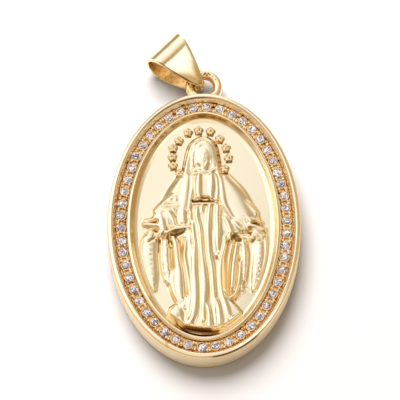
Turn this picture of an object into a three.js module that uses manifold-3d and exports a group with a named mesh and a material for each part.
// Oval devotional medal with a stone-set border, a soldered hanging ring and a tapered bail.
// Millimetres. The flat back lies on z = 0, the front faces +Z, and the hanging ring is at +Y.
import * as THREE from "three";
import { mergeVertices } from "three/addons/utils/BufferGeometryUtils.js";
import Module from "manifold-3d";

// Medal plate and its borders.
const MEDAL_WIDTH = 18.8;
const MEDAL_LENGTH = 28.3;
const RIM_HEIGHT = 2.7;
const BACK_EDGE_ROUND = 0.45;
const RIM_WIDTH = 0.78;
const RIM_CREST_INSET = 0.34;
const CHANNEL_FLOOR_HEIGHT = 1.5;
const INNER_RIM_WIDTH = 0.64;
const INNER_RIM_HEIGHT = 2.5;
const COVE_WIDTH = 0.38;
const FIELD_EDGE_HEIGHT = 1.75;
const FIELD_DOME = 0.2;
const OVAL_STEPS = 64;

// Stone border.
const STONE_DIAMETER = 1.0;
const STONE_SPACING = 0.332;
const STONE_SIDE_ROOM = 0.05;
const STONE_TABLE_DIAMETER = 0.56;
const STONE_CROWN = 0.16;
const STONE_SINK = 0.55;
const STONE_FACETS = 8;
const SETTING_THICKNESS = 0.24;
const SETTING_CLEARANCE = 0.05;
const BEAD_RADIUS = 0.19;
const BEAD_STAND = 0.36;
const BEAD_SIDES = 5;

// Hanging ring and bail.
const RING_MEAN_RADIUS = 1.385;
const RING_WIRE = 0.97;
const RING_OFFSET = 0.12;
const RING_SOLDER_DEPTH = 0.62;
const RING_HEIGHT = 1.35;
const BAIL_LENGTH = 6.1;
const BAIL_DEPTH = 3.84;
const BAIL_WIDE = 4.04;
const BAIL_NARROW = 0.7;
const BAIL_STRIP = 0.45;
const BAIL_EDGE_CHAMFER = 0.1;
const BAIL_WIRE_CLEARANCE = 0.155;
const BAIL_SLACK = 0.52;
const BAIL_SIDE_SHIFT = -0.12;
const BAIL_DIRECTION = THREE.MathUtils.degToRad(136.5);

// Raised figure.
const RELIEF_HEIGHT = 1.0;
const RELIEF_ROOT = 0.5;
const STAR_RADIUS = 0.5;
const STAR_WAIST = 0.6;
const STAR_POINTS = 5;
const STAR_HEIGHT = 0.36;
const MASS_SIDES = 12;
const FOLD_STEPS = 5;

// Cleaning of joined surfaces.
const VERTEX_MERGE = 0.001;
const SLIVER_HEIGHT = 0.002;
const SLIVER_ROUNDS = 6;

// Relief tables. x and half widths are in hundredths of the field's half width, y and half lengths in
// hundredths of its half length, and heights in hundredths of the relief height above the field.

// Columns of a plate's corner: x, y.
const PLATES = {
  cloak: { height: 30, corners: [
    [-27, 50], [-38, 38], [-55, 24], [-70, 14], [-74, 5], [-60, -6], [-46, -12], [40, -12],
    [66, -4], [82, 6], [77, 15], [60, 26], [45, 35], [34, 44], [27, 50],
  ] },
  veil: { height: 46, corners: [
    [-30, 47], [-28, 60], [-22, 72], [-12, 80], [0, 83], [12, 80], [20, 72], [23, 60], [27, 47],
  ] },
  bodice: { height: 62, corners: [[-15, 49], [-15, 20], [19, 20], [21, 49]] },
  skirt: { height: 46, corners: [
    [-17, 19], [-28, -4], [-33, -38], [-27, -66], [-40, -73], [-52, -78], [-54, -86], [-44, -93],
    [-20, -97], [6, -99], [30, -98.5], [44, -94], [57, -86], [38, -72], [31, -60], [29, -10], [19, 19],
  ] },
};

// Columns of a fold's station: x, y, half width, height.
const FOLDS = {
  veil_left: [[-30, 46, 6, 54], [-25, 62, 6.5, 64], [-14, 76, 6, 72]],
  veil_top: [[-16, 74, 6, 70], [-1, 79.5, 6, 78], [14, 74, 6, 70]],
  veil_right: [[13, 76, 6, 72], [21, 62, 6, 64], [26, 46, 6, 54]],
  collar: [[-15, 48, 4, 80], [1, 47, 4.4, 86], [17, 48, 4, 80]],
  bodice_left: [[-7, 45, 7, 80], [-7, 34, 8, 92], [-6, 21, 6.5, 84]],
  bodice_right: [[10, 45, 6.5, 78], [11, 34, 6.5, 86], [9, 21, 6, 80]],
  bodice_edge: [[20, 46, 3.6, 68], [22, 34, 3.6, 70], [20, 20, 3.6, 68]],
  belt: [[-18, 17.5, 2.6, 74], [0, 17, 3, 84], [18, 17.5, 2.6, 74]],
  arm_left: [[-30, 42, 9, 44], [-46, 22, 13, 44], [-58, 8, 12, 44]],
  arm_right: [[30, 42, 9, 42], [48, 24, 13, 42], [66, 8, 12, 44]],
  mantle_left: [[-25, 44, 6.5, 60], [-28, 26, 7.5, 68], [-31, 2, 6, 60]],
  mantle_left_lining: [[-16, 44, 3.4, 60], [-16, 30, 3.4, 66], [-21, 9, 3.4, 62]],
  mantle_right: [[25, 44, 4.8, 60], [33, 24, 5.4, 64], [51, 6, 4.8, 56]],
  mantle_right_fold: [[39, 34, 3.4, 48], [46, 22, 4, 54], [56, 9, 3.4, 50]],
  mantle_right_edge: [[32, 44, 3, 42], [56, 26, 3.4, 46], [78, 10, 3, 46]],
  sleeve_left_outer: [[-50, 28, 3.6, 40], [-62, 20, 4, 48], [-71, 13, 4, 46]],
  sleeve_left_upper: [[-61, 18, 3.4, 50], [-50, 17.5, 4, 56], [-38, 16, 3.4, 58]],
  sleeve_left_lower: [[-64, 13, 4, 52], [-53, 8, 5, 60], [-44, -2, 4.4, 60]],
  forearm_left: [[-70, 9, 6, 50], [-65, 2, 6.5, 60], [-61, -6, 5.6, 64]],
  hand_left: [[-60, -4, 5.6, 62], [-66, -9, 6, 60], [-72, -15, 3.6, 48]],
  fingers_left: [[-88, 2, 3, 36], [-78, 2.5, 3.4, 46], [-67, 3.5, 3, 54]],
  cuff_left: [[-21, -4, 3.4, 62], [-36, -6.5, 4, 66], [-50, -7, 3, 58]],
  forearm_right: [[56, 9, 6, 52], [66, 4, 6.5, 60], [75, -1, 5.6, 60]],
  fingers_right: [[66, 3.5, 2.8, 54], [78, 3, 3.4, 60], [88, -1, 2.8, 42]],
  hand_right: [[71, -3, 6.5, 62], [80, -8, 6, 58], [87, -14, 3.6, 44]],
  ray_left_outer: [[-81, -15, 9, 36], [-83, -32, 10.5, 40], [-79, -49, 8, 38], [-74, -63, 2.4, 30]],
  ray_left_inner: [[-57, -12, 5, 48], [-56, -30, 7, 50], [-52, -52, 5, 44]],
  ray_right_inner: [[58, -15, 4.6, 46], [61, -36, 5.4, 48], [57, -58, 3.6, 40]],
  ray_right_outer: [[84, -13, 8, 36], [85, -32, 9, 40], [79, -50, 7.5, 38], [71, -66, 2.4, 30]],
  panel_left: [[-41, -10, 5.6, 54], [-42, -34, 6.4, 58], [-43, -54, 10, 56], [-35, -73, 4, 50]],
  panel_right: [[37, -9, 6.5, 50], [44, -34, 6, 58], [50, -57, 6, 54], [45, -71, 4, 48]],
  skirt_left_edge: [[-21, 5, 3.6, 64], [-29, -30, 4.6, 66], [-24, -70, 4, 62]],
  skirt_left_cord: [[-19, -4, 2.6, 62], [-22, -34, 3, 66], [-19, -76, 3, 64]],
  skirt_one: [[-12, 13, 4.8, 74], [-15, -34, 5.4, 78], [-13, -60, 5.6, 80], [-21, -95, 7, 80]],
  skirt_two: [[-1.5, 13, 4.6, 78], [-3, -34, 5, 82], [0, -62, 5.2, 82], [5, -96, 6.4, 84]],
  skirt_three: [[9, 13, 4.6, 76], [8.5, -34, 5.4, 80], [13, -62, 5, 80], [21, -97, 5.4, 82]],
  skirt_four: [[19, 13, 4.8, 68], [22, -30, 6, 74], [24, -60, 6, 70], [30, -80, 5, 64]],
  hem: [[-38, -93, 4, 60], [-18, -95.5, 4.6, 76], [6, -97.5, 4.6, 80], [30, -97.5, 4.4, 72]],
  foot_curl: [[-46, -75, 4.4, 54], [-51, -81, 5, 58], [-47, -89, 4.6, 54]],
  foot_fold: [[-40, -76, 4.6, 58], [-37, -84, 5.2, 62], [-33, -92, 4.6, 62]],
  drape_edge: [[32, -70, 3.4, 54], [43, -77, 4, 58], [57, -86, 3.4, 48]],
  drape_fold: [[32, -79, 5, 60], [37, -86, 7, 60], [42, -93, 5, 52]],
};

// Columns of a rounded mass: x, y, half width, half length, height of its full outline, height of its top.
const MASSES = {
  head: [0, 63, 13, 12, 60, 96],
  nose: [0, 62.5, 2.4, 3.4, 88, 106],
  brow: [0, 66.5, 8, 1.8, 84, 97],
  lips: [0, 57.8, 3.4, 1, 84, 96],
  chin: [0, 54.8, 4, 2, 74, 92],
};

// Columns of a star: x, y.
const STARS = [
  [-7, 91.5], [11, 90.5], [25, 83], [34.5, 74], [38, 64], [32, 53.5],
  [-23, 89.5], [-37, 81.5], [-46, 74], [-47, 65.5], [-46, 57], [-36, 49.5],
];

const wasm = await Module();
wasm.setup();

const AXIS_X = MEDAL_WIDTH / 2;
const AXIS_Y = MEDAL_LENGTH / 2;
const channelWidth = STONE_DIAMETER + 2 * STONE_SIDE_ROOM;
const channelInset = RIM_WIDTH + channelWidth;
const innerRimInset = channelInset + INNER_RIM_WIDTH;
const fieldInset = innerRimInset + COVE_WIDTH;
const stoneLineInset = RIM_WIDTH + channelWidth / 2;
const fieldHalfWidth = AXIS_X - fieldInset;
const fieldHalfLength = AXIS_Y - fieldInset;
const fieldLevel = FIELD_EDGE_HEIGHT + FIELD_DOME;
const reliefRootLevel = FIELD_EDGE_HEIGHT - RELIEF_ROOT;

// A point of the medal's outline moved inwards by inset, at the ellipse's own angle.
function ovalPoint(angle, inset, z = 0) {
  const normal = new THREE.Vector2(Math.cos(angle) / AXIS_X, Math.sin(angle) / AXIS_Y).normalize();
  const x = AXIS_X * Math.cos(angle) - inset * normal.x;
  const y = AXIS_Y * Math.sin(angle) - inset * normal.y;
  return new THREE.Vector3(x, y, z);
}

function ovalRing(inset, z) {
  return Array.from({ length: OVAL_STEPS }, (_, i) => ovalPoint((2 * Math.PI * i) / OVAL_STEPS, inset, z));
}

// One closed surface through rings of equal point counts. A loop joins its last ring to its first.
function skin(rings, isLoop = false) {
  const count = rings[0].length;
  const points = rings.flat();
  const faces = [];
  const steps = isLoop ? rings.length : rings.length - 1;
  for (let r = 0; r < steps; r += 1) {
    const here = r * count;
    const there = ((r + 1) % rings.length) * count;
    for (let i = 0; i < count; i += 1) {
      const next = (i + 1) % count;
      faces.push(here + i, here + next, there + next, here + i, there + next, there + i);
    }
  }
  if (!isLoop) {
    const last = (rings.length - 1) * count;
    points.push(middleOf(rings[0]), middleOf(rings.at(-1)));
    for (let i = 0; i < count; i += 1) {
      const next = (i + 1) % count;
      faces.push(points.length - 2, next, i);
      faces.push(points.length - 1, last + i, last + next);
    }
  }
  return new THREE.BufferGeometry().setFromPoints(points).setIndex(faces);
}

function middleOf(points) {
  return points.reduce((sum, p) => sum.add(p), new THREE.Vector3()).divideScalar(points.length);
}

function toSolid(geometry) {
  const bare = geometry.clone();
  bare.deleteAttribute("normal");
  bare.deleteAttribute("uv");
  const merged = mergeVertices(bare, 1e-4);
  return new wasm.Manifold(new wasm.Mesh({
    numProp: 3,
    vertProperties: new Float32Array(merged.attributes.position.array),
    triVerts: new Uint32Array(merged.index.array),
  }));
}

function toGeometry(solid) {
  const mesh = solid.getMesh();
  const geometry = new THREE.BufferGeometry();
  geometry.setAttribute("position", new THREE.BufferAttribute(mesh.vertProperties, 3));
  geometry.setIndex(new THREE.BufferAttribute(mesh.triVerts, 1));
  return withoutSlivers(mergeVertices(geometry, VERTEX_MERGE));
}

// Cutting and joining leaves triangles whose third corner lies on their longest side. Each one is
// swapped with its neighbour across that side, which keeps the surface as it is.
function withoutSlivers(geometry) {
  const { position } = geometry.attributes;
  const corner = (i) => new THREE.Vector3().fromBufferAttribute(position, i);
  const all = geometry.index.array;
  let faces = [];
  for (let i = 0; i < all.length; i += 3) faces.push([all[i], all[i + 1], all[i + 2]]);
  faces = faces.filter(([a, b, c]) => a !== b && b !== c && c !== a);
  const key = (a, b) => `${a} ${b}`;
  const owner = new Map();
  const claim = (f) => faces[f].forEach((a, i) => owner.set(key(a, faces[f][(i + 1) % 3]), f));
  faces.forEach((_, f) => claim(f));
  for (let round = 0; round < SLIVER_ROUNDS; round += 1) {
    faces.forEach((face, f) => {
      const sides = face.map((a, i) => corner(a).distanceTo(corner(face[(i + 1) % 3])));
      const longest = sides.indexOf(Math.max(...sides));
      const [a, b, c] = [0, 1, 2].map((i) => face[(longest + i) % 3]);
      const area = corner(b).sub(corner(a)).cross(corner(c).sub(corner(a))).length();
      const other = owner.get(key(b, a));
      const d = faces[other].find((v) => v !== a && v !== b);
      if (area / sides[longest] > SLIVER_HEIGHT || owner.has(key(c, d)) || owner.has(key(d, c))) return;
      owner.delete(key(a, b));
      owner.delete(key(b, a));
      faces[f] = [a, d, c];
      faces[other] = [d, b, c];
      claim(f);
      claim(other);
    });
  }
  return new THREE.BufferGeometry().setAttribute("position", position).setIndex(faces.flat());
}

function joined(solids) {
  return solids.reduce((whole, solid) => whole.add(solid));
}

// Plate, rims, channel and field as one turned profile that follows the oval.
function plateGeometry() {
  const round = BACK_EDGE_ROUND;
  const crestDrop = RIM_HEIGHT - CHANNEL_FLOOR_HEIGHT;
  const innerDrop = INNER_RIM_HEIGHT - FIELD_EDGE_HEIGHT;
  const innerMiddle = channelInset + INNER_RIM_WIDTH / 2;
  const profile = [
    [round, 0],
    [0.29 * round, 0.29 * round],
    [0, round],
    [0, RIM_HEIGHT - 1.4 * RIM_CREST_INSET],
    [0.3 * RIM_CREST_INSET, RIM_HEIGHT - 0.5 * RIM_CREST_INSET],
    [RIM_CREST_INSET, RIM_HEIGHT],
    [(RIM_CREST_INSET + RIM_WIDTH) / 2, RIM_HEIGHT - 0.14 * crestDrop],
    [RIM_WIDTH, RIM_HEIGHT - 0.5 * crestDrop],
    [RIM_WIDTH, CHANNEL_FLOOR_HEIGHT],
    [channelInset, CHANNEL_FLOOR_HEIGHT],
    [channelInset, INNER_RIM_HEIGHT - 0.3 * innerDrop],
    [innerMiddle, INNER_RIM_HEIGHT],
    [innerRimInset, INNER_RIM_HEIGHT - 0.45 * innerDrop],
    [fieldInset, FIELD_EDGE_HEIGHT],
  ];
  const rings = profile.map(([inset, z]) => ovalRing(inset, z));
  for (const share of [0.75, 0.4]) {
    const z = FIELD_EDGE_HEIGHT + FIELD_DOME * (1 - share * share);
    rings.push(ovalRing(fieldInset, z).map((p) => new THREE.Vector3(p.x * share, p.y * share, z)));
  }
  return skin(rings);
}

function fieldX(share) {
  return (share / 100) * fieldHalfWidth;
}

function fieldY(share) {
  return (share / 100) * fieldHalfLength;
}

function reliefLevel(share) {
  return fieldLevel + (share / 100) * RELIEF_HEIGHT;
}

function plateOfRelief({ height, corners }) {
  const outline = new THREE.Shape(corners.map(([x, y]) => new THREE.Vector2(fieldX(x), fieldY(y))));
  const depth = reliefLevel(height) - reliefRootLevel;
  const geometry = new THREE.ExtrudeGeometry(outline, { depth, bevelEnabled: false });
  return geometry.translate(0, 0, reliefRootLevel);
}

// A fold has a rounded crest that follows a smooth line through its stations.
function foldGeometry(stations) {
  const line = new THREE.CatmullRomCurve3(
    stations.map(([x, y]) => new THREE.Vector3(fieldX(x), fieldY(y), 0)),
  );
  const sizes = new THREE.CatmullRomCurve3(
    stations.map(([, , width, height]) => new THREE.Vector3(fieldX(width), reliefLevel(height), 0)),
  );
  const rings = [];
  for (let i = 0; i < FOLD_STEPS; i += 1) {
    const t = i / (FOLD_STEPS - 1);
    const centre = line.getPoint(t);
    const along = line.getTangent(t);
    const across = new THREE.Vector3(-along.y, along.x, 0);
    const { x: halfWidth, y: crest } = sizes.getPoint(t);
    const rise = crest - fieldLevel;
    const shoulder = fieldLevel + 0.78 * rise;
    const section = [[1, reliefRootLevel], [0.6, shoulder], [0, crest], [-0.6, shoulder], [-1, reliefRootLevel]];
    rings.push(section.map(([side, z]) => centre.clone().addScaledVector(across, side * halfWidth).setZ(z)));
  }
  return skin(rings);
}

// A rounded mass rises straight to its full outline and closes over it as half an ellipsoid.
function massGeometry([x, y, halfWidth, halfLength, seat, top]) {
  const ring = (spread, z) => Array.from({ length: MASS_SIDES }, (_, i) => new THREE.Vector3(
    fieldX(x) + fieldX(halfWidth) * spread * Math.cos((2 * Math.PI * i) / MASS_SIDES),
    fieldY(y) + fieldY(halfLength) * spread * Math.sin((2 * Math.PI * i) / MASS_SIDES),
    z,
  ));
  const dome = [0, 0.3, 0.6, 0.85].map((share) => {
    const angle = (share * Math.PI) / 2;
    return ring(Math.cos(angle), reliefLevel(seat + (top - seat) * Math.sin(angle)));
  });
  return skin([ring(1, reliefRootLevel), ...dome]);
}

// A pointed star with a raised middle and ridges running out to its points.
function starGeometry([x, y]) {
  const corner = (i, z) => {
    const radius = i % 2 ? STAR_WAIST * STAR_RADIUS : STAR_RADIUS;
    const angle = Math.PI / 2 + (i * Math.PI) / STAR_POINTS;
    return new THREE.Vector3(fieldX(x) + radius * Math.cos(angle), fieldY(y) + radius * Math.sin(angle), z);
  };
  const ring = (z) => Array.from({ length: 2 * STAR_POINTS }, (_, i) => corner(i, z));
  const geometry = skin([ring(reliefRootLevel), ring(fieldLevel + 0.35 * STAR_HEIGHT)]);
  const top = geometry.attributes.position.count - 1;
  geometry.attributes.position.setZ(top, fieldLevel + STAR_HEIGHT);
  return geometry;
}

function hangingRingGeometry() {
  const geometry = new THREE.TorusGeometry(RING_MEAN_RADIUS, RING_WIRE / 2, 8, 24);
  return geometry.translate(ringCentre.x, ringCentre.y, ringCentre.z);
}

const ringOuterRadius = RING_MEAN_RADIUS + RING_WIRE / 2;
const ringCentre = new THREE.Vector3(RING_OFFSET, AXIS_Y + ringOuterRadius - RING_SOLDER_DEPTH, RING_HEIGHT);

function medalGeometry() {
  return toGeometry(joined([
    toSolid(plateGeometry()),
    ...Object.values(PLATES).map((plate) => toSolid(plateOfRelief(plate))),
    ...Object.values(FOLDS).map((stations) => toSolid(foldGeometry(stations))),
    ...Object.values(MASSES).map((mass) => toSolid(massGeometry(mass))),
    ...STARS.map((star) => toSolid(starGeometry(star))),
    toSolid(hangingRingGeometry()),
  ]));
}

// Places that lie evenly along the middle of the channel, with the direction of the line at each.
function stonePlaces() {
  const line = new THREE.CatmullRomCurve3(ovalRing(stoneLineInset, 0), true);
  line.arcLengthDivisions = 20 * OVAL_STEPS;
  const count = Math.round(line.getLength() / (STONE_DIAMETER + STONE_SPACING));
  const places = [];
  for (let i = 0; i < count; i += 1) {
    places.push({
      stone: line.getPointAt((i + 0.25) / count),
      gap: line.getPointAt((i + 0.75) / count),
      along: line.getTangentAt((i + 0.25) / count),
      gapAlong: line.getTangentAt((i + 0.75) / count),
    });
  }
  return places;
}

const settingBottom = CHANNEL_FLOOR_HEIGHT + SETTING_CLEARANCE;
const settingTop = settingBottom + SETTING_THICKNESS;
const stoneTableLevel = RIM_HEIGHT - STONE_SINK;
const girdleLevel = stoneTableLevel - STONE_CROWN;

function settingGeometry() {
  const outer = RIM_WIDTH + SETTING_CLEARANCE;
  const inner = channelInset - SETTING_CLEARANCE;
  const section = [[outer, settingBottom], [outer, settingTop], [inner, settingTop], [inner, settingBottom]];
  return skin(section.map(([inset, z]) => ovalRing(inset, z)), true);
}

function stoneGeometry({ stone, along }) {
  const turn = Math.atan2(along.y, along.x) + Math.PI / STONE_FACETS;
  const ring = (radius, z) => Array.from({ length: STONE_FACETS }, (_, i) => {
    const angle = turn + (2 * Math.PI * i) / STONE_FACETS;
    return new THREE.Vector3(stone.x + radius * Math.cos(angle), stone.y + radius * Math.sin(angle), z);
  });
  const radius = STONE_DIAMETER / 2;
  const root = (settingBottom + settingTop) / 2;
  return skin([
    ring(0.5 * radius, root),
    ring(radius, girdleLevel),
    ring(STONE_TABLE_DIAMETER / 2, stoneTableLevel),
  ]);
}

function beadGeometry({ gap, gapAlong }, side) {
  const spread = channelWidth / 2 - SETTING_CLEARANCE - BEAD_RADIUS;
  const root = (settingBottom + settingTop) / 2;
  const height = settingTop + BEAD_STAND - root;
  const geometry = new THREE.CylinderGeometry(0.45 * BEAD_RADIUS, BEAD_RADIUS, height, BEAD_SIDES);
  geometry.rotateX(Math.PI / 2);
  return geometry.translate(
    gap.x - side * spread * gapAlong.y,
    gap.y + side * spread * gapAlong.x,
    root + height / 2,
  );
}

function stoneRingGeometry() {
  const places = stonePlaces();
  return toGeometry(joined([
    toSolid(settingGeometry()),
    ...places.map((place) => toSolid(stoneGeometry(place))),
    ...places.map((place) => toSolid(beadGeometry(place, 1))),
    ...places.map((place) => toSolid(beadGeometry(place, -1))),
  ]));
}

// The bail's side view: a small arc round the ring's wire and a large arc for the chain, joined by
// straight flanks. Each entry is a point of the strip's middle line and the direction out of the loop.
function bailLoop() {
  const wireRoom = RING_WIRE / 2 + BAIL_WIRE_CLEARANCE;
  const smallRadius = wireRoom + BAIL_STRIP / 2;
  const largeRadius = (BAIL_DEPTH - BAIL_STRIP) / 2;
  const wireStart = RING_MEAN_RADIUS - RING_WIRE / 2;
  const smallCentre = new THREE.Vector2(wireStart - BAIL_SLACK + wireRoom, RING_HEIGHT);
  const nearEnd = smallCentre.x - wireRoom - BAIL_STRIP;
  const largeCentre = new THREE.Vector2(nearEnd + BAIL_LENGTH - BAIL_DEPTH / 2, BAIL_DEPTH / 2);
  const towards = smallCentre.clone().sub(largeCentre);
  const axis = towards.angle();
  const spread = Math.acos((largeRadius - smallRadius) / towards.length());
  const entries = [];
  const arc = (centre, radius, from, to, steps) => {
    for (let i = 0; i <= steps; i += 1) {
      const angle = from + ((to - from) * i) / steps;
      const out = new THREE.Vector2(Math.cos(angle), Math.sin(angle));
      entries.push({ point: centre.clone().addScaledVector(out, radius), out });
    }
  };
  const flank = (start, end, angle) => {
    const out = new THREE.Vector2(Math.cos(angle), Math.sin(angle));
    for (const share of [0.25, 0.5, 0.75]) {
      entries.push({ point: start.clone().lerp(end, share), out });
    }
  };
  const tangent = (centre, radius, angle) =>
    centre.clone().add(new THREE.Vector2(Math.cos(angle), Math.sin(angle)).multiplyScalar(radius));
  const low = axis - spread;
  const high = axis + spread;
  arc(smallCentre, smallRadius, low, high, 6);
  flank(tangent(smallCentre, smallRadius, high), tangent(largeCentre, largeRadius, high), high);
  arc(largeCentre, largeRadius, high, low + 2 * Math.PI, 14);
  flank(tangent(largeCentre, largeRadius, low), tangent(smallCentre, smallRadius, low), low);
  return { entries, nearEnd };
}

function bailGeometry() {
  const { entries, nearEnd } = bailLoop();
  const half = BAIL_STRIP / 2;
  const rings = entries.map(({ point, out }) => {
    const share = Math.sin((Math.PI / 2) * THREE.MathUtils.clamp((point.x - nearEnd) / BAIL_LENGTH, 0, 1));
    const halfWidth = THREE.MathUtils.lerp(BAIL_NARROW, BAIL_WIDE, share) / 2;
    const section = [
      [-halfWidth, -half], [halfWidth, -half], [halfWidth, half - BAIL_EDGE_CHAMFER],
      [halfWidth - BAIL_EDGE_CHAMFER, half], [BAIL_EDGE_CHAMFER - halfWidth, half],
      [-halfWidth, half - BAIL_EDGE_CHAMFER],
    ];
    return section.map(([side, rise]) =>
      new THREE.Vector3(point.x + rise * out.x, -side, point.y + rise * out.y));
  });
  const geometry = skin(rings, true);
  geometry.rotateZ(BAIL_DIRECTION);
  return geometry.translate(ringCentre.x + BAIL_SIDE_SHIFT, ringCentre.y, 0);
}

function piece(name, geometry, material) {
  const mesh = new THREE.Mesh(geometry, new THREE.MeshStandardMaterial(material));
  mesh.name = name;
  return mesh;
}

const group = new THREE.Group();
group.add(piece("medal", medalGeometry(), { color: 0xf3dfb0, roughness: 0.24, metalness: 1 }));
group.add(piece("stone_ring", stoneRingGeometry(), { color: 0xd8d3e0, roughness: 0.08, metalness: 0 }));
group.add(piece("bail", bailGeometry(), { color: 0xf0d9a2, roughness: 0.16, metalness: 1 }));

export default group;
